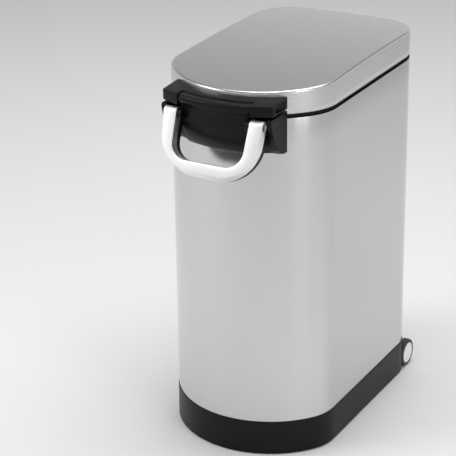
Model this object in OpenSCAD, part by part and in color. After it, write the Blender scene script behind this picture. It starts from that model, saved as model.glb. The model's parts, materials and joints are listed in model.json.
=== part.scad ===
// Pet food bin: a free-standing steel bin with a curved front, a hinged lid held
// down by a swing handle, a lift-out plastic bucket, a scoop under the lid and
// two wheels at the back corners. Units are millimetres, +Z is up, the front
// faces -Y, and the floor is z = 0 under the middle of the whole object.

/* [Body] */
// Width of the steel body, side to side
body_w = 272; // [264:1:284]
// Depth of the steel body, front curve to back wall
body_d = 426; // [410:1:440]
// Height of the body's top edge above the floor
body_top = 560; // [540:1:580]
// Radius of the curved front
front_r = 150; // [147:1:156]
// Radius where the front curve runs into the sides
front_corner_r = 76; // [70:1:80]
// Radius of the two back corners
back_corner_r = 68; // [55:1:72]
// How far the middle of the back wall bows out
back_bow = 7; // [4:0.5:10]
// Thickness of the steel sheet
sheet_t = 0.8; // [0.6:0.1:1.2]

/* [Base] */
// Height of the black plastic base
base_h = 58; // [54:1:62]
// How far the base stands proud of the steel
base_proud = 1.5; // [1:0.1:2]
// Gap between the base's lower edge and the floor
base_lift = 1.5; // [1:0.1:2]
// Wall thickness of the base
base_t = 3; // [2.5:0.1:4]

/* [Wheels] */
// Radius of a wheel over its tyre
wheel_r = 23.5; // [22.5:0.5:24.5]
// Width of a wheel
wheel_w = 14; // [12:0.5:15]
// Distance of the axle behind the middle of the body
axle_y = 184; // [182:0.5:185.5]
// Radius of the axle
axle_r = 4; // [3:0.5:5]

/* [Lid] */
// Clear gap between the body's top edge and the lid's lower edge
seam_gap = 6.6; // [6:0.1:8]
// Height of the lid's crown above the floor
crown_z = 607; // [604:1:612]
// Radius of the lid's gentle front-to-back crown
crown_r = 5300; // [4500:50:7000]
// Distance of the crown's highest line behind the middle of the body
crown_y = 58; // [40:1:70]
// Distance of the lid's hinge line behind the middle of the body
hinge_y = 220; // [219.5:0.1:221]
// Height of the lid's hinge line above the floor
hinge_z = 562; // [561:0.2:563]

/* [Latch] */
// Half the width of the hood over the latch
hood_half_w = 92; // [90:0.5:94]
// Half the width of the middle housing
housing_half_w = 60; // [58:0.5:60]
// Distance of the handle's pivot ahead of the middle of the body
pivot_y = 234; // [233:0.5:235]
// Height of the handle's pivot above the floor
pivot_z = 560; // [559:0.5:561]

/* [Handle] */
// Angle of the closed handle, forward of vertical
handle_tilt = 21.9; // [18:0.1:24]
// Half the width of the handle over its arms, at the top
handle_half_w = 82.8; // [80:0.1:83]
// Reach of the handle's front face below the pivot
handle_reach = 81; // [76:0.5:84]
// Thickness of the silver part of the handle
handle_t = 16; // [14:0.5:18]

/* [Hidden] */
$fn = 48;
eps = 0.01;

// The plan outline is made of true arcs; these are their centres.
half_w = body_w / 2;
half_d = body_d / 2;
front_c = -half_d + front_r;
front_fx = half_w - front_corner_r;
front_fy = front_c - sqrt(pow(front_r - front_corner_r, 2) - pow(front_fx, 2));
back_r = (pow(half_w, 2) + pow(back_bow, 2)) / (2 * back_bow);
back_c = half_d - back_r;
back_fx = half_w - back_corner_r;
back_fy = back_c + sqrt(pow(back_r - back_corner_r, 2) - pow(back_fx, 2));

lid_bottom = body_top + seam_gap;
fit_gap = 0.1;

// Collar, bucket rim and seal
collar_t = 3;
collar_in = sheet_t + fit_gap + collar_t;
collar_skirt = 38;
ledge_in = 9;
ledge_z = body_top - 7;
ledge_t = 3;
bucket_rim_in = collar_in + 0.3;
bucket_wall_in = 10;
bucket_t = 2;
bucket_rim_z = ledge_z + ledge_t;
bucket_rim_top = body_top + 1;
bucket_floor = base_h + 4;
bucket_floor_t = 3;
seal_in = 4.8;
seal_w = 5;

// Base
wheel_z = wheel_r + 0.3;
well_top = base_h - 6;
well_x = half_w + base_proud - wheel_w - 1.5;
well_y = axle_y - wheel_r - 1.5;
deck_t = 3;
axle_half_l = half_w + base_proud - 3.5;
boss_r = 9;
boss_len = 14;
pad_r = 9;
pad_t = 3.5;
pad_sites = [[0, -188], [-104, -92], [104, -92], [-72, 168], [72, 168]];

// Hood and housing are turned about one upright axis ahead of the wall.
nose_c = -35;
hood_nose_r = 212;
hood_z0 = 574.5;
hood_top_z = 593.5;
hood_slope = 3;
hood_t = 2.5;
hood_shelf_z = 586.5;
shelf_r = 196;
ear_in = housing_half_w + 1;
housing_top_r = 211;
housing_z0 = 509;
cheek_w = 7;
cheek_r = 8.5;
latch_pin_r = 3;
latch_pin_head_r = 4.8;
run_gap = 0.05;

// Bracket on the body, behind the handle's arms
bracket_z0 = 508;
bracket_z1 = 571.5;
bracket_arm_y = -214;
bracket_plate_t = 2.6;
lip_z = 549;
lip_t = 3;

// Screws
screw_r = 1.6;
screw_head_r = 3.2;
drill_r = 1.62;
keeper_screw_z = 515;
keeper_screw_sites = [[88.2, -180], [30, -207.8]];
hood_screw_z = 589.5;
hood_screw_sites = [[76, -185.8], [40, -202.6]];
hinge_body_screw_z = 530;
hinge_lid_screw_z = 583;

// Handle outline: half widths, side tapers, corner radii
arm_end = 9.5;
arm_front = -9;
front_taper = 0.093;
front_corner = 53.5;
rear_taper = 0.02;
rear_corner = 64;
rear_reach = handle_reach + 7.5;
inner_half_w = 60.8;
inner_taper = 0.027;
inner_corner = 27;
inner_reach = 65.5;
liner_t = 11;
liner_inset = 0.8;
liner_screw_z = -34;
claw_x = 67;
claw_w = 10;

// Hinges
hinge_x = 62;
hinge_half_l = 18;
hinge_tab = 5.7;
knuckle_r = 6;
hinge_pin_r = 2.5;
hinge_face_y = 216.6;

// Scoop, docked under the lid
scoop_w = 92;
scoop_l = 130;
scoop_h = 62;
scoop_t = 2;
scoop_y = -20;
scoop_top = 592.4;
dock_z = 593;

// The whole object is centred on the floor between the handle's bar and the hinge.
function tilt_y(d, s) = d * cos(handle_tilt) + s * sin(handle_tilt);
front_reach = pivot_y - tilt_y(arm_front, -handle_reach);
back_reach = hinge_y + knuckle_r;
centre_y = (front_reach - back_reach) / 2;

// ---------- shared shapes ----------

module outline(o = 0) {
    intersection() {
        translate([0, front_c]) circle(r = front_r + o, $fn = 180);
        polygon([
            [0, front_c],
            [4 * front_fx, front_c + 4 * (front_fy - front_c)],
            [-4 * front_fx, front_c + 4 * (front_fy - front_c)]
        ]);
    }
    intersection() {
        translate([0, back_c]) circle(r = back_r + o, $fn = 720);
        polygon([
            [0, 0],
            [back_fx, back_fy],
            [1.2 * back_fx, back_fy + 0.2 * (back_fy - back_c)],
            [-1.2 * back_fx, back_fy + 0.2 * (back_fy - back_c)],
            [-back_fx, back_fy]
        ]);
    }
    for (s = [-1, 1]) {
        translate([s * front_fx, front_fy]) circle(r = front_corner_r + o, $fn = 120);
        translate([s * back_fx, back_fy]) circle(r = back_corner_r + o, $fn = 120);
    }
    polygon([
        [0, front_c], [front_fx, front_fy], [half_w + o, front_fy],
        [half_w + o, back_fy], [back_fx, back_fy], [0, 0],
        [-back_fx, back_fy], [-half_w - o, back_fy],
        [-half_w - o, front_fy], [-front_fx, front_fy]
    ]);
}

module slab(z0, z1, o = 0) {
    translate([0, 0, z0]) linear_extrude(z1 - z0) outline(o);
}

module band(z0, z1, o_out, o_in) {
    difference() {
        slab(z0, z1, o_out);
        slab(z0 - 1, z1 + 1, o_in);
    }
}

module crown(drop = 0) {
    translate([-200, crown_y, crown_z - crown_r])
        rotate([0, 90, 0]) cylinder(r = crown_r - drop, h = 400, $fn = 720);
}

module x_rod(x0, x1, y, z, r) {
    translate([x0, y, z]) rotate([0, 90, 0]) cylinder(r = r, h = x1 - x0);
}

module y_rod(x, y0, y1, z, r) {
    translate([x, y1, z]) rotate([90, 0, 0]) cylinder(r = r, h = y1 - y0);
}

module side_profile(x0, x1, points) {
    translate([x0, 0, 0]) rotate([90, 0, 90]) linear_extrude(x1 - x0) polygon(points);
}

module hinge_drills(z) {
    both_sides() for (x = [-11, 11]) y_rod(hinge_x + x, 200, 216, z, drill_r);
}

module front_drills(sites, z) {
    both_sides() for (p = sites) y_rod(p[0], p[1] - 12, p[1] + 8, z, drill_r);
}

module front_screws(sites, z) {
    both_sides() for (p = sites) {
        y_rod(p[0], p[1] - 11.8, p[1] + eps, z, screw_r);
        y_rod(p[0], p[1], p[1] + 2, z, screw_head_r);
    }
}

module both_sides() {
    children();
    mirror([1, 0, 0]) children();
}

module placed() {
    translate([0, centre_y, 0]) children();
}

// ---------- body ----------

module body_shell() {
    color([0.72, 0.73, 0.74]) difference() {
        band(base_h, body_top, 0, -sheet_t);
        hinge_drills(hinge_body_screw_z);
        front_drills(keeper_screw_sites, keeper_screw_z);
    }
}

module top_collar() {
    color([0.08, 0.08, 0.08]) {
        difference() {
            union() {
                band(body_top - collar_skirt, body_top, -sheet_t - fit_gap, -collar_in);
                band(body_top, body_top + 1, 0, -collar_in);
                band(ledge_z, ledge_z + ledge_t, -collar_in + eps, -ledge_in);
            }
            hinge_drills(hinge_body_screw_z);
        }
    }
}

module wheel_wells() {
    both_sides() translate([well_x, well_y, 0]) cube([60, 100, well_top]);
}

module base() {
    color([0.1, 0.1, 0.1]) difference() {
        band(base_lift, base_h, base_proud, base_proud - base_t);
        wheel_wells();
        x_rod(-half_w, half_w, axle_y, wheel_z, boss_r + fit_gap);
    }
}

module base_deck() {
    deck_out = base_proud - base_t - fit_gap;
    color([0.1, 0.1, 0.1]) difference() {
        union() {
            slab(base_h - deck_t, base_h, deck_out);
            band(base_h - eps, base_h + 14, deck_out, deck_out - 2.5);
            // Walls of the two wheel wells
            both_sides() intersection() {
                slab(base_lift, base_h, deck_out);
                translate([well_x - base_t, well_y - base_t, base_lift])
                    cube([60, 100, base_h - base_lift]);
            }
            // Bosses that hold the axle and the floor pads
            intersection() {
                both_sides() x_rod(well_x - base_t - boss_len, well_x - base_t + eps,
                                   axle_y, wheel_z, boss_r);
                slab(base_lift, base_h, base_proud - 0.5);
            }
            for (p = pad_sites)
                translate([p[0], p[1], base_lift]) cylinder(r = pad_r + 2, h = base_h - base_lift - 1);
        }
        wheel_wells();
        x_rod(-half_w, half_w, axle_y, wheel_z, axle_r + 0.02);
        for (p = pad_sites)
            translate([p[0], p[1], 0]) cylinder(r = pad_r + 0.02, h = pad_t);
    }
}

module floor_pads() {
    color([0.2, 0.2, 0.2])
        for (p = pad_sites) translate([p[0], p[1], 0]) cylinder(r = pad_r, h = pad_t);
}

module inner_bucket() {
    color([0.35, 0.36, 0.37]) {
        difference() {
            slab(bucket_floor, bucket_rim_top - 2, -bucket_wall_in);
            slab(bucket_floor + bucket_floor_t, bucket_rim_top, -bucket_wall_in - bucket_t);
        }
        band(bucket_rim_top - 2, bucket_rim_top, -bucket_rim_in, -bucket_wall_in - bucket_t);
        band(bucket_rim_z, bucket_rim_top - 2, -bucket_rim_in, -bucket_rim_in - 2);
    }
}

module axle() {
    color([0.6, 0.6, 0.62])
        x_rod(-axle_half_l, axle_half_l, axle_y, wheel_z, axle_r);
}

module axle_clips() {
    color([0.5, 0.5, 0.52]) both_sides() difference() {
        x_rod(axle_half_l - 2.9, axle_half_l - 1.4, axle_y, wheel_z, axle_r + 3);
        x_rod(axle_half_l - 4, axle_half_l, axle_y, wheel_z, axle_r);
    }
}

// ---------- keeper bracket on the front of the body ----------

module keeper_bracket() {
    cheek_x = handle_half_w + 1.6;
    color([0.13, 0.13, 0.13]) difference() {
        union() {
            // Back plate on the steel
            intersection() {
                band(bracket_z0, bracket_z1 - 6, bracket_plate_t, 0);
                translate([-hood_half_w, -half_d - 60, 0]) cube([2 * hood_half_w, half_d, 700]);
            }
            both_sides() {
                // Outer cheeks, hollow from behind
                intersection() {
                    side_profile(cheek_x, hood_half_w, [
                        [-150, bracket_z0], [-188, bracket_z0], [-204, 519],
                        [-217, 535], [-226, 551], [-230.5, 562], [-231.5, 567],
                        [-230.5, 570], [-228, bracket_z1], [-150, bracket_z1]
                    ]);
                    slab_outside();
                }
                // Wall behind each arm
                intersection() {
                    side_profile(ear_in + 1, cheek_x + eps, [
                        [-150, bracket_z0], [-198, bracket_z0], [-208, 524],
                        [bracket_arm_y, 540], [bracket_arm_y, 556],
                        [-150, 556]
                    ]);
                    slab_outside();
                }
            }
        }
        // Pockets for the keeper lips and holes for the screws
        both_sides() translate([ear_in + 5, bracket_arm_y - 3, lip_z]) cube([16, 12, lip_t]);
        front_drills(keeper_screw_sites, keeper_screw_z);
    }
}

module slab_outside() {
    difference() {
        translate([-150, -300, 400]) cube([300, 300, 200]);
        slab(300, 700, 0);
    }
}

module keeper_lips() {
    color([0.65, 0.66, 0.67]) both_sides()
        translate([ear_in + 5, bracket_arm_y - 3, lip_z]) cube([16, 12, lip_t]);
}

module keeper_screws() {
    color([0.6, 0.6, 0.62]) difference() {
        front_screws(keeper_screw_sites, keeper_screw_z);
        // The middle screws end inside the bracket's back plate
        translate([-50, -300, 500]) cube([100, 300 - half_d, 30]);
    }
}

// ---------- lid ----------

module lid_skin() {
    color([0.74, 0.75, 0.76]) difference() {
        intersection() {
            slab(lid_bottom, crown_z + 1, 0);
            crown();
        }
        hinge_drills(hinge_lid_screw_z);
        front_drills(hood_screw_sites, hood_screw_z);
        intersection() {
            slab(lid_bottom - 1, crown_z + 1, -sheet_t);
            crown(sheet_t);
        }
    }
}

module lid_liner() {
    wall_in = sheet_t + fit_gap;
    color([0.2, 0.2, 0.21]) difference() {
        intersection() {
            union() {
                band(lid_bottom + 0.6, crown_z, -wall_in, -wall_in - 3);
                slab(dock_z, dock_z + 3, -wall_in - 3 + eps);
                band(lid_bottom + 0.6, lid_bottom + 3.6,
                     -wall_in - 3 + eps, -seal_in - seal_w - 2.5);
            }
            crown(sheet_t + fit_gap);
        }
        hinge_drills(hinge_lid_screw_z);
        front_drills(hood_screw_sites, hood_screw_z);
    }
}

module lid_gasket() {
    color([0.05, 0.05, 0.05])
        band(bucket_rim_top + 0.4, lid_bottom + 0.6, -seal_in, -seal_in - seal_w);
}

module hood_solid(r, z0) {
    // Everything ahead of the lid's wall inside the nose arc and under the sloped top
    difference() {
        translate([0, nose_c, z0]) cylinder(r = r, h = 30, $fn = 240);
        slab(z0 - 1, z0 + 40, 0);
        translate([-200, -half_d, hood_top_z]) rotate([hood_slope, 0, 0])
            translate([0, -200, 0]) cube([400, 500, 40]);
        translate([-300, -170, z0 - 1]) cube([600, 500, 60]);
    }
}

module hood_frame() {
    color([0.14, 0.14, 0.14]) difference() {
        intersection() {
            hood_solid(hood_nose_r, hood_z0);
            translate([-hood_half_w, -300, hood_z0]) cube([2 * hood_half_w, 300, 40]);
        }
        // Room for the middle housing, below and ahead of a shelf on the wall
        difference() {
            translate([-ear_in, -300, hood_z0 - 1]) cube([2 * ear_in, 300, 40]);
            translate([0, nose_c, hood_shelf_z]) cylinder(r = shelf_r, h = 20, $fn = 240);
        }
        front_drills(hood_screw_sites, hood_screw_z);
        // Hollow ears
        both_sides() intersection() {
            translate([0, nose_c, hood_z0 - 1])
                cylinder(r = hood_nose_r - hood_t, h = 12.5, $fn = 240);
            translate([ear_in + hood_t, -300, hood_z0 - 1])
                cube([hood_half_w - ear_in - 2 * hood_t, 300, 12.5]);
        }
    }
}

module latch_housing() {
    hw = housing_half_w;
    color([0.13, 0.13, 0.13]) difference() {
        union() {
            intersection() {
                nose_turned([
                    [0, housing_z0], [184, housing_z0], [190, 516], [196, 528],
                    [200, 542], [202.5, 558], [203, 572], [206, 576],
                    [housing_top_r, 582], [housing_top_r, 588.5], [housing_top_r - 3, 590.5],
                    [shelf_r + 0.2, 590.5], [shelf_r + 0.2, hood_shelf_z], [0, hood_shelf_z]
                ]);
                translate([-hw, -300, housing_z0 - 1]) cube([2 * hw, 300, 200]);
            }
            both_sides() x_rod(hw - cheek_w, hw, -pivot_y, pivot_z, cheek_r);
        }
        // Clear of the bracket's plate
        slab(500, 600, 4.5);
        // Hollow from behind and below
        intersection() {
            nose_turned([
                [0, housing_z0 - 1], [181, housing_z0 - 1], [187, 516], [193, 528],
                [197, 542], [199.5, 558], [200, 572], [203, 577],
                [housing_top_r - 3, 583], [housing_top_r - 3, 586],
                [shelf_r + 2.5, 586], [shelf_r - 4, 584], [0, 584]
            ]);
            translate([-hw + cheek_w, -300, housing_z0 - 2])
                cube([2 * hw - 2 * cheek_w, 300, 200]);
        }
        // The pins are pressed into the cheeks
        both_sides() x_rod(hw - cheek_w - 1, hw + 1, -pivot_y, pivot_z, latch_pin_r);
    }
}

module nose_turned(profile) {
    translate([0, nose_c, 0]) rotate_extrude($fn = 240) polygon(profile);
}

module latch_pins() {
    color([0.5, 0.5, 0.52]) both_sides() {
        x_rod(housing_half_w - cheek_w, handle_half_w - 1.6, -pivot_y, pivot_z, latch_pin_r);
        x_rod(handle_half_w - 3.6, handle_half_w - 1.6, -pivot_y, pivot_z, latch_pin_head_r);
    }
}

module hood_screws() {
    color([0.6, 0.6, 0.62]) front_screws(hood_screw_sites, hood_screw_z);
}

// ---------- hinges ----------

module knuckle(x0, x1) {
    x_rod(x0, x1, hinge_y, hinge_z, knuckle_r);
}

module hinge_plate(z0, z1) {
    difference() {
        translate([-hinge_half_l, 205, z0])
            cube([2 * hinge_half_l, hinge_face_y - 205, z1 - z0]);
        translate([-hinge_x, 0, 0]) slab(500, 600, 0.02);
    }
}

module hinge_body_leaves() {
    color([0.15, 0.15, 0.15]) both_sides() translate([hinge_x, 0, 0]) difference() {
        union() {
            for (x0 = [-hinge_half_l, hinge_tab + 0.3]) {
                x1 = x0 + hinge_half_l - hinge_tab - 0.3;
                knuckle(x0, x1);
                side_profile(x0, x1, [
                    [212, 538], [hinge_face_y, 538], [hinge_y + knuckle_r, hinge_z],
                    [212, hinge_z]
                ]);
            }
            hinge_plate(hinge_body_screw_z - 7, 552);
        }
        translate([-hinge_x, 0, 0]) slab(500, 600, 0.02);
        x_rod(-30, 30, hinge_y, hinge_z, hinge_pin_r);
        for (x = [-11, 11]) y_rod(x, 200, 230, hinge_body_screw_z, drill_r);
    }
}

module hinge_pins() {
    color([0.6, 0.6, 0.62]) both_sides()
        x_rod(hinge_x - hinge_half_l, hinge_x + hinge_half_l, hinge_y, hinge_z, hinge_pin_r);
}

module hinge_lid_leaves() {
    color([0.15, 0.15, 0.15]) both_sides() translate([hinge_x, 0, 0]) difference() {
        union() {
            knuckle(-hinge_tab, hinge_tab);
            side_profile(-hinge_tab, hinge_tab, [
                [212, hinge_z], [hinge_y + knuckle_r, hinge_z], [hinge_face_y, 580], [212, 580]
            ]);
            hinge_plate(571, hinge_lid_screw_z + 8);
        }
        translate([-hinge_x, 0, 0]) slab(500, 600, 0.02);
        x_rod(-30, 30, hinge_y, hinge_z, hinge_pin_r + run_gap);
        for (x = [-11, 11]) y_rod(x, 200, 230, hinge_lid_screw_z, drill_r);
    }
}

module hinge_screw(x, z) {
    y_rod(x, 206, hinge_face_y + eps, z, screw_r);
    y_rod(x, hinge_face_y, hinge_face_y + 1.4, z, screw_head_r);
}

module hinge_body_screws() {
    color([0.6, 0.6, 0.62]) both_sides() for (x = [-11, 11])
        hinge_screw(hinge_x + x, hinge_body_screw_z);
}

module hinge_lid_screws() {
    color([0.6, 0.6, 0.62]) both_sides() for (x = [-11, 11])
        hinge_screw(hinge_x + x, hinge_lid_screw_z);
}

// ---------- handle ----------

// Points of one half of a U, from the top of the arm to the middle of the bar
function half_u(w, top, taper, corner, reach, steps = 14) = let(
    lean = atan(taper),
    cz = -reach + corner,
    cx = w - taper * (top - cz) - corner / cos(lean)
) concat(
    [[w, top]],
    [for (i = [0:steps]) let(a = -lean - i * (90 - lean) / steps)
        [cx + corner * cos(a), cz + corner * sin(a)]]
);

function mirrored(points) = [for (i = [len(points) - 1:-1:0]) [-points[i][0], points[i][1]]];

front_u = half_u(handle_half_w, arm_end, front_taper, front_corner, handle_reach);
rear_u = half_u(handle_half_w, arm_end, rear_taper, rear_corner, rear_reach);
inner_u = half_u(inner_half_w, arm_end, inner_taper, inner_corner, inner_reach);

// A U-shaped bar whose outer side flares from its front face to its rear face.
// Each station along the U has four corners, and triangles join the stations.
module u_bar(front_half, rear_half, inner_half, d0, d1) {
    front_outer = concat(front_half, mirrored(front_half));
    rear_outer = concat(rear_half, mirrored(rear_half));
    inner = concat(inner_half, mirrored(inner_half));
    last = len(inner) - 1;
    polyhedron(
        points = [for (i = [0:last]) each [
            [front_outer[i][0], d0, front_outer[i][1]],
            [rear_outer[i][0], d1, rear_outer[i][1]],
            [inner[i][0], d1, inner[i][1]],
            [inner[i][0], d0, inner[i][1]]
        ]],
        faces = concat(
            [[0, 3, 2], [0, 2, 1]],
            [for (i = [0:last - 1], k = [0:3]) let(a = 4 * i + k, b = 4 * i + (k + 1) % 4)
                each [[a, b, b + 4], [a, b + 4, a + 4]]],
            [[4 * last, 4 * last + 1, 4 * last + 2], [4 * last, 4 * last + 2, 4 * last + 3]]
        )
    );
}

module in_handle() {
    translate([0, -pivot_y, pivot_z]) rotate([-handle_tilt, 0, 0]) children();
}

module handle_frame() {
    color([0.78, 0.79, 0.8]) in_handle() difference() {
        intersection() {
            u_bar(front_u, rear_u, inner_u, arm_front, arm_front + handle_t);
            // Rounded arm ends
            union() {
                translate([-100, 0, 0]) rotate([0, 90, 0]) cylinder(r = arm_end, h = 200);
                translate([-100, arm_front, -120]) cube([200, handle_t, 120]);
            }
        }
        both_sides() {
            x_rod(50, 100, 0, 0, latch_pin_r + run_gap);
            x_rod(handle_half_w - 3.7, 100, 0, 0, latch_pin_head_r + 0.1);
            y_rod(70, arm_front + 7, arm_front + handle_t + 1, liner_screw_z, 1.5);
        }
    }
}

liner_outer_u = half_u(handle_half_w - liner_inset, arm_end, rear_taper, rear_corner,
                       rear_reach - liner_inset);
liner_inner_u = half_u(inner_half_w + 0.6, arm_end, inner_taper, inner_corner, inner_reach + 0.6);

module handle_liner() {
    d0 = arm_front + handle_t;
    color([0.06, 0.06, 0.06]) in_handle() difference() {
        intersection() {
            u_bar(liner_outer_u, liner_outer_u, liner_inner_u, d0, d0 + liner_t);
            side_profile(-100, 100, [
                [d0, -12], [d0, -120], [d0 + liner_t, -120], [d0 + liner_t, -26]
            ]);
        }
        both_sides() y_rod(70, d0 - 1, d0 + liner_t + 1, liner_screw_z, 1.5);
        // Seats of the claws
        both_sides() translate([claw_x, d0 + 1, -24]) cube([claw_w, 4, 20]);
    }
}

module latch_claws() {
    d0 = arm_front + handle_t;
    color([0.65, 0.66, 0.67]) both_sides() {
        in_handle() translate([claw_x, d0 + 1, -24]) cube([claw_w, 4, 12]);
        // The hook stops just short of the keeper lip on the body
        translate([claw_x, -230, lip_z - 4.8])
            cube([claw_w, bracket_arm_y - 4.2 + 230, 3.8]);
    }
}

module liner_screws() {
    d0 = arm_front + handle_t;
    color([0.5, 0.5, 0.52]) in_handle() both_sides()
        y_rod(70, arm_front + 8, d0 + liner_t - 1, liner_screw_z, 1.45);
}

// ---------- scoop ----------

module rounded_block(w, l, z0, z1, r) {
    translate([0, scoop_y, z0]) linear_extrude(z1 - z0) {
        square([w - 2 * r, l], center = true);
        square([w, l - 2 * r], center = true);
        for (x = [-1, 1], y = [-1, 1])
            translate([x * (w / 2 - r), y * (l / 2 - r)]) circle(r = r);
    }
}

module scoop() {
    z1 = scoop_top;
    color([0.3, 0.31, 0.32]) {
        difference() {
            rounded_block(scoop_w, scoop_l, z1 - scoop_h, z1, 16);
            rounded_block(scoop_w - 2 * scoop_t, scoop_l - 2 * scoop_t, z1 - scoop_h - 1,
                          z1 - 2.5, 16 - scoop_t);
            translate([-24, scoop_y - 24, z1 - 1]) cube([48, 48, 2]);
        }
        // Handle, level with the bowl's closed side
        difference() {
            translate([-13, scoop_y + scoop_l / 2 - 1, z1 - 14]) cube([26, 72, 14]);
            translate([-11, scoop_y + scoop_l / 2 + 1, z1 - 15]) cube([22, 68, 13]);
        }
    }
}

module scoop_plate() {
    color([0.65, 0.66, 0.67]) translate([-24, scoop_y - 24, scoop_top - 1]) cube([48, 48, 1]);
}

module scoop_dock() {
    color([0.25, 0.25, 0.26]) difference() {
        translate([-30, scoop_y - 30, dock_z + 3]) cube([60, 60, 6]);
        for (x = [-14, 14]) translate([x, scoop_y, dock_z + 3 - 1]) cylinder(r = 9, h = 5);
    }
}

module dock_magnets() {
    color([0.6, 0.6, 0.62]) for (x = [-14, 14])
        translate([x, scoop_y, dock_z + 3]) cylinder(r = 8.98, h = 4);
}

// ---------- wheels ----------

module on_axle(side) {
    translate([side * (half_w + base_proud), axle_y, wheel_z])
        rotate([0, -side * 90, 0]) children();
}

rim_r = wheel_r - 6;

module wheel_hub() {
    // Local z runs inwards from the wheel's outer face
    color([0.88, 0.88, 0.87]) difference() {
        rotate_extrude($fn = 96) polygon([
            [axle_r + run_gap, 6.5], [axle_r + run_gap, wheel_w], [9, wheel_w], [10, wheel_w - 2],
            [rim_r - 2, wheel_w - 2], [rim_r - 2, wheel_w], [rim_r, wheel_w],
            [rim_r, 0.8], [rim_r - 1.4, 0.8], [rim_r - 1.4, 2.6], [9, 2.6], [9, 6.5]
        ]);
    }
}

module wheel_tyre() {
    color([0.22, 0.22, 0.22]) rotate_extrude($fn = 96) polygon([
        [rim_r, 1], [rim_r + 2.5, 0.4], [wheel_r - 1.8, 0.8], [wheel_r - 0.4, 2],
        [wheel_r, 4], [wheel_r, wheel_w - 4], [wheel_r - 0.4, wheel_w - 2],
        [wheel_r - 1.8, wheel_w - 0.8], [rim_r + 2.5, wheel_w - 0.4], [rim_r, wheel_w - 1]
    ]);
}

module wheel_cap() {
    color([0.9, 0.9, 0.89]) rotate_extrude($fn = 96) polygon([
        [0, 0.2], [8, 0.35], [rim_r - 3, 0.9], [rim_r - 1.45, 1.3],
        [rim_r - 1.45, 2.6], [0, 2.6]
    ]);
}

module wheel_left_hub() { on_axle(-1) wheel_hub(); }
module wheel_left_tyre() { on_axle(-1) wheel_tyre(); }
module wheel_left_cap() { on_axle(-1) wheel_cap(); }
module wheel_right_hub() { on_axle(1) wheel_hub(); }
module wheel_right_tyre() { on_axle(1) wheel_tyre(); }
module wheel_right_cap() { on_axle(1) wheel_cap(); }

placed() body_shell();
placed() top_collar();
placed() base();
placed() base_deck();
placed() floor_pads();
placed() inner_bucket();
placed() axle();
placed() axle_clips();
placed() keeper_bracket();
placed() keeper_lips();
placed() keeper_screws();
placed() hinge_body_leaves();
placed() hinge_pins();
placed() hinge_body_screws();
placed() lid_skin();
placed() lid_liner();
placed() lid_gasket();
placed() hood_frame();
placed() latch_housing();
placed() latch_pins();
placed() hood_screws();
placed() hinge_lid_leaves();
placed() hinge_lid_screws();
placed() scoop_dock();
placed() dock_magnets();
placed() handle_frame();
placed() handle_liner();
placed() latch_claws();
placed() liner_screws();
placed() scoop();
placed() scoop_plate();
placed() wheel_left_hub();
placed() wheel_left_tyre();
placed() wheel_left_cap();
placed() wheel_right_hub();
placed() wheel_right_tyre();
placed() wheel_right_cap();
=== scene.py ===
import json
import math
import bpy
import bmesh
from mathutils import Matrix, Vector


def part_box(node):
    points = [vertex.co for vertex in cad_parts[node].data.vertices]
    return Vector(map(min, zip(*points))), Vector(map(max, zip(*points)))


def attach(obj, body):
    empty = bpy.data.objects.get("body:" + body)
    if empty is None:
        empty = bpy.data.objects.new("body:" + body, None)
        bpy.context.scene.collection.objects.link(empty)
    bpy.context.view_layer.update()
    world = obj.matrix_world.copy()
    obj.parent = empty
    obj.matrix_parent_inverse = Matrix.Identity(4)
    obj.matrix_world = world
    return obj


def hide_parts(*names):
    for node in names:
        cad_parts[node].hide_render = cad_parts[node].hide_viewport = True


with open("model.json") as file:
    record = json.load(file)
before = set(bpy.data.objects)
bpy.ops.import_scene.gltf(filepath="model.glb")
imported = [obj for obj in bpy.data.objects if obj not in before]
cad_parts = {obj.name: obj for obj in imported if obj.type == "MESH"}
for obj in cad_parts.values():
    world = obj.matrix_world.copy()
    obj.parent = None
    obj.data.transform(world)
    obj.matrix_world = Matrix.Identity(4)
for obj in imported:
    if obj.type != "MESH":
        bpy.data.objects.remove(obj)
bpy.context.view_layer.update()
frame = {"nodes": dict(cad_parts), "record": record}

MM = 0.001

# ---------------------------------------------------------------- main sizes
body_lo, body_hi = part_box("body_shell")
skin_lo, skin_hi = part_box("lid_skin")
base_lo, base_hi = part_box("base")
HALF_W = (body_hi[0] - body_lo[0]) / 2
HALF_D = 0.213
CY = body_lo[1] + HALF_D
BODY_Z0, BODY_Z1 = body_lo[2], body_hi[2]
LID_Z0, CROWN_Z = skin_lo[2], skin_hi[2]
CROWN_R, CROWN_Y = 5.3, 0.058
SHEET = 0.8 * MM

# Outline of the body: a front arc, corner arcs, straight sides and a slightly bowed back
FRONT_R = 0.150
FRONT_CORNER = 0.076
BACK_CORNER = 0.068
BACK_BOW = 0.007
FRONT_C = -HALF_D + FRONT_R
FRONT_FX = HALF_W - FRONT_CORNER
FRONT_FY = FRONT_C - math.sqrt((FRONT_R - FRONT_CORNER) ** 2 - FRONT_FX ** 2)
BACK_R = (HALF_W ** 2 + BACK_BOW ** 2) / (2 * BACK_BOW)
BACK_C = HALF_D - BACK_R
BACK_FX = HALF_W - BACK_CORNER
BACK_FY = BACK_C + math.sqrt((BACK_R - BACK_CORNER) ** 2 - BACK_FX ** 2)

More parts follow.
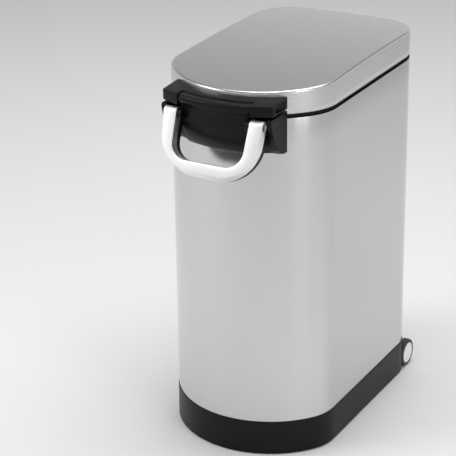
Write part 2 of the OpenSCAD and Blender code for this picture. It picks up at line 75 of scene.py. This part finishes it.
# Latch: the hood and housing are turned about NOSE_C; Y is from the body's middle
NOSE_C = -0.035
NOSE_R = 0.212
SHELF_R = 0.196
HOOD_HALF = 0.092
HOUSE_HALF = 0.060
HOOD_Z0, HOOD_Z1 = 0.5745, 0.5935
HOOD_FALL = math.tan(math.radians(3))
SHELF_Z0 = 0.5865
EAR_EDGE = 1.0 * MM
EAR_CUT = 7.0 * MM
WALL_GAP = 0.1 * MM
EAR_HOLLOW_X = (0.0645, 0.0830)
EAR_HOLLOW_Y = (-0.2275, -0.150)
EAR_HOLLOW_Z = 0.584
HOUSE_WALL = 2.5 * MM
CHEEK_X = 0.0844
PLATE_T = 2.6 * MM
PLATE_Z0, PLATE_Z1 = 0.508, 0.5655

# Handle: a tilted U that hangs from its pivot; depths are measured from the pivot's axis
PIVOT_Y, PIVOT_Z = -0.234, 0.560
TILT = math.radians(21.9)
ARM_TOP = 0.0095
ARM_FRONT, HANDLE_T, LINER_T = -0.009, 0.016, 0.011
HANDLE_HALF = 82.8 * MM
SCREW_R, SCREW_FACE = 5.2 * MM, 79.1 * MM


# ---------------------------------------------------------------- plan outline
def arc(cx, cy, r, a0, a1, n):
    """Points of an arc; angles are measured from the front, towards +X."""
    return [(cx + r * math.sin(a0 + (a1 - a0) * i / n), cy - r * math.cos(a0 + (a1 - a0) * i / n))
            for i in range(n + 1)]


def half_plan(o, dense=1.0):
    """The right half of the body's outline, front to back, offset outwards by o."""
    turn = math.atan2(FRONT_FX, FRONT_C - FRONT_FY)
    back_turn = math.atan2(BACK_FX, BACK_FY - BACK_C)
    pts = arc(0, FRONT_C, FRONT_R + o, 0, turn, int(40 * dense))
    pts += arc(FRONT_FX, FRONT_FY, FRONT_CORNER + o, turn, math.pi / 2, int(20 * dense))[1:]
    pts += [(HALF_W + o, FRONT_FY + (BACK_FY - FRONT_FY) * i / 12) for i in range(1, 12)]
    pts += arc(BACK_FX, BACK_FY, BACK_CORNER + o, math.pi / 2, math.pi - back_turn, int(28 * dense))
    pts += arc(0, BACK_C, BACK_R + o, math.pi - back_turn, math.pi, 12)[1:]
    return pts


def full_plan(o, dense=1.0):
    right = half_plan(o, dense)
    left = [(-x, y) for x, y in reversed(right)]
    return right[:-1] + left[:-1]


def wall_y(x, o=0.0):
    """The front wall's Y at x, offset outwards by o."""
    return FRONT_C - math.sqrt((FRONT_R + o) ** 2 - x * x)


def nose_y(x, r):
    """The latch's Y at x, at the radius r about NOSE_C."""
    return NOSE_C - math.sqrt(r * r - x * x)


def crown_z(y):
    """The height of the lid's top at y."""
    return CROWN_Z - CROWN_R + math.sqrt(CROWN_R ** 2 - (y - CROWN_Y) ** 2)


# ---------------------------------------------------------------- mesh helpers
def shade(me, smooth):
    """Smooth shading, with edges sharper than the angle in degrees kept sharp."""
    for p in me.polygons:
        p.use_smooth = True
    me.set_sharp_from_angle(angle=math.radians(smooth))


def new_object(name, bm, smooth=40, weld=True):
    if weld:
        bmesh.ops.remove_doubles(bm, verts=bm.verts, dist=1e-7)
        bmesh.ops.recalc_face_normals(bm, faces=bm.faces)
    me = bpy.data.meshes.new(name)
    bm.to_mesh(me)
    bm.free()
    shade(me, smooth)
    ob = bpy.data.objects.new(name, me)
    bpy.context.scene.collection.objects.link(ob)
    return ob


def skin_rings(bm, rings, closed_path=False):
    """Joins rings of points with quads and returns the rings of vertices."""
    vr = [[bm.verts.new(p) for p in ring] for ring in rings]
    n = len(vr[0])
    last = len(vr) if closed_path else len(vr) - 1
    for i in range(last):
        a, b = vr[i], vr[(i + 1) % len(vr)]
        for j in range(n):
            k = (j + 1) % n
            bm.faces.new((a[j], a[k], b[k], b[j]))
    return vr


def swept_plan(name, profile, dense=1.0, smooth=40):
    """A closed profile of (offset, z) carried round the body's outline."""
    bm = bmesh.new()
    rings = [[(x, y + CY, z) for x, y in full_plan(o, dense)] for o, z in profile]
    skin_rings(bm, rings, closed_path=True)
    return new_object(name, bm, smooth)


def loft(name, sections, smooth=40):
    """Joins closed sections and caps both ends."""
    bm = bmesh.new()
    vr = skin_rings(bm, sections)
    bm.faces.new(vr[0])
    bm.faces.new(list(reversed(vr[-1])))
    return new_object(name, bm, smooth)


def rod(name, p0, p1, r, n=32):
    """A round rod between two points."""
    axis = Vector(p1) - Vector(p0)
    side = axis.orthogonal().normalized()
    up = axis.cross(side).normalized()
    ring = lambda c: [tuple(Vector(c) + r * (math.cos(t) * side + math.sin(t) * up))
                      for t in [2 * math.pi * i / n for i in range(n)]]
    return loft(name, [ring(p0), ring(p1)])


def block(name, lo, hi):
    xs = [(lo[0], lo[1]), (hi[0], lo[1]), (hi[0], hi[1]), (lo[0], hi[1])]
    return loft(name, [[(x, y, lo[2]) for x, y in xs], [(x, y, hi[2]) for x, y in xs]])


def apply_modifiers(ob):
    dg = bpy.context.evaluated_depsgraph_get()
    me = bpy.data.meshes.new_from_object(ob.evaluated_get(dg))
    ob.modifiers.clear()
    ob.data = me


def cut(ob, cutter, smooth=35):
    """Takes the cutter away from the object and removes the cutter."""
    m = ob.modifiers.new("cut", "BOOLEAN")
    m.operation = "DIFFERENCE"
    m.solver = "EXACT"
    m.object = cutter
    apply_modifiers(ob)
    bpy.data.objects.remove(cutter)
    shade(ob.data, smooth)


def join(name, obs):
    """One object of several closed meshes, which stay separate shells."""
    bm = bmesh.new()
    for o in obs:
        bm.from_mesh(o.data)
        bpy.data.objects.remove(o)
    return new_object(name, bm, 35, weld=False)


def spread(a, b, n):
    return [a + (b - a) * i / n for i in range(n + 1)]


def soften(ob, width, segments=2, angle=38):
    """A narrow round along the edges sharper than the angle in degrees."""
    m = ob.modifiers.new("soft edges", "BEVEL")
    m.width = width
    m.segments = segments
    m.limit_method = "ANGLE"
    m.angle_limit = math.radians(angle)
    m.harden_normals = True
    return ob


def rounded(corners, r, n=5):
    """A closed polygon with its corners rounded; r is one radius or one for each corner."""
    out = []
    m = len(corners)
    for i, c in enumerate(corners):
        ri = r[i] if isinstance(r, (list, tuple)) else r
        a, b, c = Vector(corners[i - 1]), Vector(c), Vector(corners[(i + 1) % m])
        u, v = (a - b).normalized(), (c - b).normalized()
        half = math.acos(max(-1, min(1, u.dot(v)))) / 2
        t = min(ri / math.tan(half), 0.49 * (a - b).length, 0.49 * (c - b).length)
        p, q = b + u * t, b + v * t
        for k in range(n + 1):
            s = k / n
            out.append(tuple((1 - s) ** 2 * p + 2 * s * (1 - s) * b + s ** 2 * q))
    return out


# ---------------------------------------------------------------- materials
def material(name):
    """A new material with its node tree and its shader."""
    m = bpy.data.materials.new(name)
    m.use_nodes = True
    nt = m.node_tree
    bsdf = nt.nodes["Principled BSDF"]
    return m, nt, bsdf


def node(nt, kind, **values):
    """A new node; each value sets an input of that name, or else a property."""
    nd = nt.nodes.new(kind)
    for k, v in values.items():
        if k in nd.inputs:
            nd.inputs[k].default_value = v
        else:
            setattr(nd, k, v)
    return nd


def object_coords(nt, scale):
    tc = node(nt, "ShaderNodeTexCoord")
    mp = node(nt, "ShaderNodeMapping")
    mp.inputs["Scale"].default_value = scale
    nt.links.new(tc.outputs["Object"], mp.inputs["Vector"])
    return mp.outputs["Vector"]


def ramp(nt, fac, stops):
    """Colour ramp over (position, colour) stops."""
    r = nt.nodes.new("ShaderNodeValToRGB")
    els = r.color_ramp.elements
    els[0].position, els[0].color = stops[0][0], (*stops[0][1], 1)
    els[1].position, els[1].color = stops[-1][0], (*stops[-1][1], 1)
    for pos, col in stops[1:-1]:
        e = els.new(pos)
        e.color = (*col, 1)
    nt.links.new(fac, r.inputs["Fac"])
    return r.outputs["Color"]


def noise(nt, vec, scale, detail=4.0, rough=0.55):
    n = node(nt, "ShaderNodeTexNoise", Scale=scale, Detail=detail, Roughness=rough)
    nt.links.new(vec, n.inputs["Vector"])
    return n.outputs["Fac"]


def bump(nt, bsdf, height, strength, distance):
    b = node(nt, "ShaderNodeBump", Strength=strength, Distance=distance)
    nt.links.new(height, b.inputs["Height"])
    nt.links.new(b.outputs["Normal"], bsdf.inputs["Normal"])


def map_range(nt, val, a, b, c, d):
    m = node(nt, "ShaderNodeMapRange")
    for i, v in zip(("From Min", "From Max", "To Min", "To Max"), (a, b, c, d)):
        m.inputs[i].default_value = v
    nt.links.new(val, m.inputs["Value"])
    return m.outputs["Result"]


def brushed_steel(name, tone, rough, grain, spin, aniso, turn):
    """Sheet steel with a fine directional grain; grain squeezes the noise along one axis."""
    m, nt, b = material(name)
    fine = noise(nt, object_coords(nt, grain), 1.0, 6.0, 0.6)
    broad = noise(nt, object_coords(nt, (3, 3, 2)), 1.0, 3.0, 0.5)
    col = ramp(nt, fine, [(0.25, tuple(c * 0.93 for c in tone)), (0.75, tone)])
    nt.links.new(col, b.inputs["Base Color"])
    mix = node(nt, "ShaderNodeMath", operation="ADD")
    nt.links.new(map_range(nt, fine, 0.2, 0.8, rough - 0.03, rough + 0.03), mix.inputs[0])
    nt.links.new(map_range(nt, broad, 0.3, 0.7, -0.012, 0.012), mix.inputs[1])
    nt.links.new(mix.outputs[0], b.inputs["Roughness"])
    b.inputs["Metallic"].default_value = 1.0
    b.inputs["Anisotropic"].default_value = aniso
    b.inputs["Anisotropic Rotation"].default_value = turn
    tan = node(nt, "ShaderNodeTangent", direction_type="RADIAL", axis=spin)
    nt.links.new(tan.outputs["Tangent"], b.inputs["Tangent"])
    bump(nt, b, fine, 0.05, 0.0002)
    return m


def moulded_plastic(name, tone, rough, grain=900.0, strength=0.12, coat=0.0, shine=0.3):
    m, nt, b = material(name)
    b.inputs["Specular IOR Level"].default_value = shine
    vec = object_coords(nt, (1, 1, 1))
    cells = noise(nt, vec, grain, 3.0, 0.6)
    patch = noise(nt, vec, 14.0, 3.0, 0.5)
    col = ramp(nt, patch, [(0.3, tuple(c * 0.9 for c in tone)), (0.7, tuple(c * 1.08 for c in tone))])
    nt.links.new(col, b.inputs["Base Color"])
    nt.links.new(map_range(nt, patch, 0.3, 0.7, rough - 0.03, rough + 0.04), b.inputs["Roughness"])
    b.inputs["Coat Weight"].default_value = coat
    bump(nt, b, cells, strength, 0.0002)
    return m


def plain_metal(name, tone, rough):
    m, nt, b = material(name)
    vec = object_coords(nt, (1, 1, 1))
    n = noise(nt, vec, 420.0, 4.0, 0.6)
    broad = noise(nt, vec, 22.0, 3.0, 0.5)
    col = ramp(nt, broad, [(0.3, tuple(c * 0.94 for c in tone)), (0.7, tone)])
    nt.links.new(col, b.inputs["Base Color"])
    nt.links.new(map_range(nt, n, 0.2, 0.8, rough - 0.04, rough + 0.04), b.inputs["Roughness"])
    b.inputs["Metallic"].default_value = 1.0
    bump(nt, b, n, 0.06, 0.0001)
    return m


STEEL_TONE = (0.66, 0.66, 0.655)
WALL_GRAIN, TOP_GRAIN = (40, 40, 2600), (30, 2600, 30)
STEEL_WALL = brushed_steel("steel_wall", STEEL_TONE, 0.17, WALL_GRAIN, "Z", 0.93, 0.25)
STEEL_RIM = brushed_steel("steel_rim", STEEL_TONE, 0.28, WALL_GRAIN, "Z", 0.6, 0.25)
STEEL_TOP = brushed_steel("steel_top", STEEL_TONE, 0.20, TOP_GRAIN, "X", 0.6, 0.0)
TRIM = moulded_plastic("trim_black", (0.0050, 0.0050, 0.0053), 0.34, shine=0.15)
BASE_PLASTIC = moulded_plastic("base_black", (0.0030, 0.0030, 0.0030), 0.36, shine=0.2)
LINER_PLASTIC = moulded_plastic("liner_grey", (0.055, 0.055, 0.058), 0.45)
BUCKET_PLASTIC = moulded_plastic("bucket_grey", (0.13, 0.135, 0.14), 0.42)
SEAL_RUBBER = moulded_plastic("seal_rubber", (0.012, 0.012, 0.012), 0.62, 1400.0, 0.2)
PAD_RUBBER = moulded_plastic("pad_rubber", (0.03, 0.03, 0.03), 0.7, 1400.0, 0.2)
TYRE_RUBBER = moulded_plastic("tyre_rubber", (0.045, 0.045, 0.045), 0.55, 1100.0, 0.25)
HUB_PLASTIC = moulded_plastic("hub_white", (0.80, 0.80, 0.79), 0.28, 700.0, 0.03, 0.2)
SILVER = plain_metal("handle_silver", (0.92, 0.92, 0.91), 0.42)
PLAIN_STEEL = plain_metal("plain_steel", (0.60, 0.60, 0.61), 0.32)

SLOT_MATERIALS = {
    "steel": STEEL_WALL, "trim_black": TRIM, "base_black": BASE_PLASTIC,
    "bucket_grey": BUCKET_PLASTIC, "liner_grey": LINER_PLASTIC, "handle_silver": SILVER,
    "seal": SEAL_RUBBER, "pad_rubber": PAD_RUBBER, "tyre": TYRE_RUBBER,
    "hub_white": HUB_PLASTIC, "plain_steel": PLAIN_STEEL,
}
for sub in frame["record"]["subparts"]:
    me = frame["nodes"][sub["node"]].data
    me.materials.clear()
    me.materials.append(SLOT_MATERIALS[sub["material_slot"]])


def finish_piece(ob, body, slot, cad_node):
    """Gives a piece its body and its slot's material, and hides the CAD node that it stands for."""
    if not ob.data.materials:
        ob.data.materials.append(SLOT_MATERIALS[slot])
    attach(ob, body)
    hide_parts(cad_node)


# ---------------------------------------------------------------- body, lid, base
def build_body():
    """Steel wall with a hemmed top edge and a plain lower edge."""
    t = SHEET
    hem = [(-t, BODY_Z1 - 4 * t)]
    hem += [(-t * 0.5 - 0.5 * t * math.cos(a), BODY_Z1 - 0.5 * t + 0.5 * t * math.sin(a))
            for a in spread(0, math.pi, 6)]
    levels = spread(BODY_Z0, BODY_Z1, 12)[:-1]
    outer = [(0.0, z) for z in reversed(levels)]
    inner = [(-t, z) for z in levels]
    ob = swept_plan("body_steel", hem + outer + inner, dense=2.0, smooth=60)
    finish_piece(ob, "body", "steel", "body_shell")


LID_SHOULDER = 3.6 * MM
LID_DENSE = 2.0
TOP_DEPTH = 14 * MM


def lid_ring(o, z_of):
    """A ring of the lid's outline, offset by o, with its height as a function of Y."""
    return [(x, y + CY, z_of(y)) for x, y in full_plan(o, LID_DENSE)]


def close_across(bm, ring):
    """Closes a ring with faces that run from side to side."""
    n = len(ring)
    faces = []
    for i in range(n // 2):
        verts = []
        for v in (ring[i], ring[i + 1], ring[(n - i - 1) % n], ring[(n - i) % n]):
            if v not in verts:
                verts.append(v)
        if len(verts) > 2:
            faces.append(bm.faces.new(verts))
    return faces


def build_lid():
    """Steel lid: a wall with a hemmed lower edge, a rounded shoulder and the crowned top."""
    t, r = SHEET, LID_SHOULDER
    bm = bmesh.new()
    rings = [lid_ring(-t, lambda y: LID_Z0 + 6 * t), lid_ring(-t, lambda y: LID_Z0 + 0.4 * t),
             lid_ring(-0.5 * t, lambda y: LID_Z0), lid_ring(0.0, lambda y: LID_Z0 + 0.4 * t)]
    for f in (0.25, 0.5, 0.75):
        rings.append(lid_ring(0.0, lambda y: LID_Z0 + f * (crown_z(y) - r - LID_Z0)))
    for a in spread(0, math.pi / 2, 8):
        rings.append(lid_ring(-r + r * math.cos(a), lambda y: crown_z(y) - r + r * math.sin(a)))
    rings.append(lid_ring(-r - 1.2 * MM, crown_z))
    top_faces = close_across(bm, skin_rings(bm, rings)[-1])
    # The inner face of the sheet
    inner = [lid_ring(-t, lambda y: LID_Z0 + 6 * t), lid_ring(-t, lambda y: crown_z(y) - 3 * MM),
             lid_ring(-2.2 * t - 0.5 * MM, lambda y: crown_z(y) - t)]
    close_across(bm, skin_rings(bm, inner)[-1])
    for f in top_faces:
        f.material_index = 1
    for f in bm.faces:
        if f.calc_center_median().z > CROWN_Z - TOP_DEPTH and abs(f.normal.z) > 0.7:
            f.material_index = 1
    ob = new_object("lid_steel", bm, 60)
    ob.data.materials.append(STEEL_RIM)
    ob.data.materials.append(STEEL_TOP)
    finish_piece(ob, "lid", "steel", "lid_skin")


BASE_WALL = 3 * MM
WELL_DEPTH, WELL_GAP, WELL_TOP = 15.5 * MM, 1.5 * MM, 6 * MM
AXLE_HOLE_R = 9.1 * MM
BEYOND = 0.2


def build_base():
    """Black base with a soft top edge, slight draft, a chamfered foot and two wheel wells."""
    z0, z1 = base_lo[2], BODY_Z0
    proud = base_hi[0] - HALF_W
    profile = [(proud - 1.1 * MM, z1), (proud - 0.75 * MM, z1 - 0.15 * MM),
               (proud - 0.5 * MM, z1 - 0.7 * MM), (proud - 0.35 * MM, z1 - 2 * MM),
               (proud, z0 + 3 * MM), (proud, z0 + 0.9 * MM), (proud - 0.3 * MM, z0 + 0.25 * MM),
               (proud - 0.9 * MM, z0), (proud - BASE_WALL, z0), (proud - BASE_WALL, z1)]
    ob = swept_plan("base_moulding", profile, dense=1.5, smooth=35)
    tyre_lo, tyre_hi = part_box("wheel_right_tyre")
    well_x = HALF_W + proud - WELL_DEPTH
    well_y = tyre_lo[1] - WELL_GAP
    for s in (-1, 1):
        x_lo, x_hi = sorted((s * well_x, s * BEYOND))
        cut(ob, block("cutter", (x_lo, well_y, -0.02), (x_hi, well_y + 0.12, z1 - WELL_TOP)))
    axle_y, axle_z = ((tyre_lo[i] + tyre_hi[i]) / 2 for i in (1, 2))
    cut(ob, rod("cutter", (-HALF_W, axle_y, axle_z), (HALF_W, axle_y, axle_z), AXLE_HOLE_R))
    finish_piece(ob, "body", "base_black", "base")


# ---------------------------------------------------------------- hood, housing
def hood_section(x, nose_r, z0):
    """Section of the hood across X: from the lid's wall to the nose, with soft corners."""
    y_back, y_nose = wall_y(x, WALL_GAP), nose_y(x, nose_r)
    z_nose = HOOD_Z1 - HOOD_FALL * (y_back - y_nose)
    pts = rounded([(y_back, z0), (y_back, HOOD_Z1), (y_nose, z_nose), (y_nose, z0)],
                  [0.5 * MM, 0.7 * MM, 2.2 * MM, 1.8 * MM], 5)
    return [(x, y + CY, z) for y, z in pts]


def build_ear(s):
    """One ear of the hood, with a recess in its outer side and a hollow underside."""
    stations = spread(HOUSE_HALF + 0.6 * MM, HOOD_HALF - EAR_EDGE, 14)
    secs = [hood_section(s * x, NOSE_R, HOOD_Z0) for x in stations]
    for a in spread(0, math.pi / 2, 4)[1:]:
        x = HOOD_HALF - EAR_EDGE + EAR_EDGE * math.sin(a)
        pull = EAR_EDGE * (1 - math.cos(a))
        secs.append([(s * x, y + (pull if y - CY < -0.19 else 0), z + (pull if z < 0.58 else -pull))
                     for _, y, z in hood_section(x, NOSE_R, HOOD_Z0)])
    ear = loft("ear", secs, 35)
    # The recess is deeper towards the front
    outline = rounded([(-0.186, 0.5775), (-0.186, 0.5905), (-0.2215, 0.5885), (-0.2165, 0.5775)],
                      4 * MM, 5)
    outline = [(y + CY, z) for y, z in outline]
    front, back = min(y for y, _ in outline), max(y for y, _ in outline)
    deep = lambda y: EAR_CUT * (back - y) / (back - front) + 0.4 * MM
    cut(ear, loft("cutter", [[(s * (HOOD_HALF - deep(y)), y, z) for y, z in outline],
                             [(s * (HOOD_HALF + 4 * MM), y, z) for y, z in outline]]))
    x_lo, x_hi = sorted(s * x for x in EAR_HOLLOW_X)
    cut(ear, block("cutter", (x_lo, EAR_HOLLOW_Y[0] + CY, 0.57),
                   (x_hi, EAR_HOLLOW_Y[1] + CY, EAR_HOLLOW_Z)))
    return ear


def build_hood():
    """Frame over the latch: two ears with a shelf between them against the lid's wall."""
    ears = [build_ear(s) for s in (-1, 1)]
    half = HOUSE_HALF + 0.8 * MM
    shelf = loft("shelf", [hood_section(x, SHELF_R, SHELF_Z0) for x in spread(-half, half, 36)], 35)
    return join("hood", [shelf] + ears)


# (radius about NOSE_C, height) in mm, from the lower edge round the nose to the shelf
HOUSE_PROFILE = [(184, 509), (187, 512), (190.5, 517), (194.3, 524), (197.5, 532), (200, 541),
                 (201.8, 550), (202.8, 559), (203.0, 567), (203.6, 572), (205.4, 575.6),
                 (208.2, 577.6), (210.0, 579.6), (211, 582.4), (211, 586.4), (210.4, 588.4),
                 (208.8, 589.8), (206.5, 590.3), (201, 590.5), (196.3, 590.5)]


def build_housing():
    """Middle cover: a turned front that hangs from the hood down to the steel wall."""
    prof = [(r * MM, z * MM) for r, z in HOUSE_PROFILE]
    edge_r, t = 1.2 * MM, HOUSE_WALL
    secs = []
    for x in spread(-HOUSE_HALF, HOUSE_HALF, 48):
        edge = min(1.0, (HOUSE_HALF - abs(x)) / edge_r)
        pull = 1.0 * MM * (1 - math.sqrt(max(0.0, 1 - (1 - edge) ** 2)))
        front = [(x, nose_y(x, r - pull) + CY, z) for r, z in prof]
        back = [(x, nose_y(x, min(r, 0.2085) - t) + CY, z - (t if z > 0.585 else 0))
                for r, z in reversed(prof)]
        secs.append(front + back)
    parts = [loft("housing_shell", secs, 35)]
    for s in (-1, 1):
        secs = []
        for x in (HOUSE_HALF - 7 * MM, HOUSE_HALF - 0.15 * MM):
            front = [(s * x, nose_y(x, r - 0.6 * MM) + CY, z) for r, z in prof[:-1]]
            back = [(s * x, wall_y(x, 4.6 * MM) + CY, z) for z in (0.5862, 0.5095)]
            secs.append(front + back)
        parts.append(loft("cheek", secs, 35))
        parts.append(rod("boss", (s * (HOUSE_HALF - 7 * MM), PIVOT_Y + CY, PIVOT_Z),
                         (s * HOUSE_HALF, PIVOT_Y + CY, PIVOT_Z), 8.5 * MM, 40))
    return join("housing", parts)


# (Y from the body's middle, height) in mm, up the front of the bracket's cheek
CHEEK_PROFILE = [(-198, 508), (-211, 519), (-221, 535), (-227.5, 551), (-230.5, 562),
                 (-231.4, 567), (-230.4, 570), (-228, 571.4)]


def build_bracket():
    """Keeper bracket on the body: a plate on the steel, cheeks and a wall behind each arm."""
    parts = []
    front = rounded([(y * MM, z * MM) for y, z in CHEEK_PROFILE], 3 * MM, 4)[3:-3]
    for s in (-1, 1):
        secs = []
        for x in spread(CHEEK_X, HOOD_HALF, 6):
            back = [(wall_y(x), z) for z in (0.5714, 0.555, 0.535, PLATE_Z0)]
            pts = [(-0.190, PLATE_Z0)] + front + back
            secs.append([(s * x, y + CY, z) for y, z in pts])
        parts.append(loft("cheek", secs, 35))
        secs = []
        for x in spread(0.062, CHEEK_X + 0.2 * MM, 8):
            y_wall = wall_y(x, 0.5 * MM)
            pts = [(-0.214, 0.556), (y_wall, 0.556), (y_wall, PLATE_Z0),
                   (min(-0.196, wall_y(x, 3 * MM)), PLATE_Z0), (-0.207, 0.517), (-0.214, 0.530)]
            secs.append([(s * x, y + CY, z) for y, z in pts])
        parts.append(loft("arm_wall", secs, 35))
    corners = [(0, PLATE_Z0), (PLATE_T, PLATE_Z0), (PLATE_T, PLATE_Z1), (0, PLATE_Z1)]
    half = CHEEK_X + 0.2 * MM
    parts.append(loft("plate", [[(x, wall_y(x, o) + CY, z) for o, z in corners]
                                for x in spread(-half, half, 40)], 35))
    return join("bracket", parts)


# ---------------------------------------------------------------- handle
def half_u(w, taper, corner, reach, steps=22):
    """Half of a U in the handle's plane, from the arm's top down to the middle."""
    lean = math.atan(taper)
    cz = -reach + corner
    cx = w - taper * (ARM_TOP - cz) - corner / math.cos(lean)
    side = [0.0095, 0.0088, 0.0072, 0.0050, 0.0025, 0.0, -0.006, -0.012]
    pts = [(w - taper * (ARM_TOP - z), z) for z in side]
    for a in spread(-lean, -math.pi / 2, steps):
        pts.append((cx + corner * math.cos(a), cz + corner * math.sin(a)))
    return pts


def to_world(x, d, z):
    """A point of the handle's plane: d is the depth behind the pivot's axis, z the height."""
    y = PIVOT_Y + d * math.cos(TILT) + z * math.sin(TILT)
    return (x, y + CY, PIVOT_Z - d * math.sin(TILT) + z * math.cos(TILT))


def u_sections(front, rear, inner, d0, d1, soft):
    """Cross-sections along the U; each is a four-sided outline with soft corners."""
    n = len(front)
    order = [(i, 1) for i in range(n)] + [(i, -1) for i in range(n - 1, -1, -1)]
    secs = []
    for i, s in order:
        # The arm's top is round, so its depth shrinks above the pivot
        z_arm = front[i][1]
        lim = math.sqrt(max(1e-8, ARM_TOP ** 2 - z_arm ** 2)) if z_arm > 0 else 1.0
        f, b = max(d0, -lim), min(d1, lim)
        quad = [Vector((s * x, d, z)) for (x, z), d in
                ((front[i], f), (rear[i], b), (inner[i], b), (inner[i], f))]
        pts = []
        for k in range(4):
            a, c, e = quad[k - 1], quad[k], quad[(k + 1) % 4]
            r = min(soft, 0.45 * (a - c).length, 0.45 * (e - c).length)
            u, v = (a - c).normalized() * r, (e - c).normalized() * r
            for w in spread(0, 1, 4):
                q = (1 - w) ** 2 * (c + u) + 2 * w * (1 - w) * c + w ** 2 * (c + v)
                pts.append(to_world(*q))
        secs.append(pts)
    return secs


def build_handle():
    """Silver front of the handle, wider at the back, with a screw recess in each arm."""
    front = half_u(HANDLE_HALF, 0.093, 53.5 * MM, 81 * MM)
    rear = half_u(HANDLE_HALF, 0.02, 64 * MM, 88.5 * MM)
    inner = half_u(60.8 * MM, 0.027, 27 * MM, 65.5 * MM)
    ob = loft("handle_bar", u_sections(front, rear, inner, ARM_FRONT, ARM_FRONT + HANDLE_T,
                                       1.6 * MM), 50)
    for s in (-1, 1):
        cut(ob, rod("cutter", to_world(s * SCREW_FACE, 0, 0), to_world(s * 90 * MM, 0, 0), SCREW_R), 50)
    return ob


def build_liner():
    """Black back of the handle; it starts below the pivots."""
    d0 = ARM_FRONT + HANDLE_T
    below = 7
    outer = half_u(HANDLE_HALF - 0.8 * MM, 0.02, 64 * MM, 87.7 * MM)[below:]
    inner = half_u(61.4 * MM, 0.027, 27 * MM, 66.1 * MM)[below:]
    return loft("handle_back", u_sections(outer, outer, inner, d0, d0 + LINER_T, 1.5 * MM), 50)


build_body()
build_lid()
build_base()
finish_piece(soften(build_hood(), 0.6 * MM, 3), "lid", "trim_black", "hood_frame")
finish_piece(build_housing(), "lid", "trim_black", "latch_housing")
finish_piece(build_handle(), "handle", "handle_silver", "handle_frame")
finish_piece(build_liner(), "handle", "trim_black", "handle_liner")
finish_piece(soften(build_bracket(), 0.6 * MM, 3, 30), "body", "trim_black", "keeper_bracket")
for name, width in (("hinge_body_leaves", 0.4), ("hinge_lid_leaves", 0.4),
                    ("scoop", 0.5), ("top_collar", 0.2)):
    soften(frame["nodes"][name], width * MM, 2)


# ---------------------------------------------------------------- floor, light, camera
FLOOR_R = 6.0
FLOOR_TONE = (0.80, 0.80, 0.80)
STUDIO_LEVELS = [(0.0, (1.0, 1.0, 1.0)), (0.5, (0.35, 0.35, 0.35)), (1.0, (0.30, 0.30, 0.30))]
KEY_POWER, FILL_POWER, OVERHEAD_POWER = 30, 12, 44


def build_floor():
    """A plain pale round floor."""
    bm = bmesh.new()
    turns = spread(0, 2 * math.pi, 96)[:-1]
    rings = [[(r * math.sin(t), r * math.cos(t), 0) for t in turns] for r in (0.5, FLOOR_R)]
    bm.faces.new(skin_rings(bm, rings)[0])
    ob = new_object("floor", bm)
    m, nt, b = material("floor_white")
    b.inputs["Base Color"].default_value = (*FLOOR_TONE, 1)
    b.inputs["Roughness"].default_value = 0.9
    b.inputs["Specular IOR Level"].default_value = 0.1
    ob.data.materials.append(m)


def area(name, loc, target, size, power):
    """A soft lamp that faces its target."""
    data = bpy.data.lights.new(name, "AREA")
    data.shape = "RECTANGLE"
    data.size, data.size_y = size
    data.energy = power
    ob = bpy.data.objects.new(name, data)
    bpy.context.scene.collection.objects.link(ob)
    ob.location = loc
    ob.rotation_euler = (Vector(target) - Vector(loc)).to_track_quat("-Z", "Y").to_euler()


def build_light():
    """Plain soft studio light: a pale surround that is dimmer overhead, and three soft lamps."""
    world = bpy.data.worlds.new("studio")
    bpy.context.scene.world = world
    world.use_nodes = True
    nt = world.node_tree
    tc = node(nt, "ShaderNodeTexCoord")
    sep = node(nt, "ShaderNodeSeparateXYZ")
    nt.links.new(tc.outputs["Generated"], sep.inputs[0])
    nt.links.new(ramp(nt, sep.outputs["Z"], STUDIO_LEVELS), nt.nodes["Background"].inputs["Color"])
    area("key", (-1.9, -1.6, 2.2), (0, 0, 0.3), (1.2, 1.2), KEY_POWER)
    area("fill", (2.4, -1.2, 1.4), (0, 0, 0.3), (0.8, 1.8), FILL_POWER)
    area("overhead", (0.2, 0.3, 2.6), (0, 0, 0), (2.0, 2.0), OVERHEAD_POWER)


def build_camera():
    """The lens looks down from the front right, a little rolled."""
    az, el, roll = math.radians(29.45), math.radians(23.12), math.radians(-0.80)
    distance, side, height = 2.8926, -0.0977, 0.3013
    right = Vector((math.cos(az), math.sin(az), 0))
    back = Vector((math.sin(az) * math.cos(el), -math.cos(az) * math.cos(el), math.sin(el)))
    up = back.cross(right)
    place = Vector((0, CY, height)) + back * distance + right * side
    cx = right * math.cos(roll) + up * math.sin(roll)
    cy = -right * math.sin(roll) + up * math.cos(roll)
    cam = bpy.data.cameras.new("camera")
    cam.sensor_width = 36
    cam.lens = 141.3
    ob = bpy.data.objects.new("camera", cam)
    bpy.context.scene.collection.objects.link(ob)
    rot = Matrix((cx, cy, back)).transposed()
    ob.matrix_world = Matrix.Translation(place) @ rot.to_4x4()
    bpy.context.scene.camera = ob


build_floor()
build_light()
build_camera()
bpy.context.scene.view_settings.view_transform = "Standard"
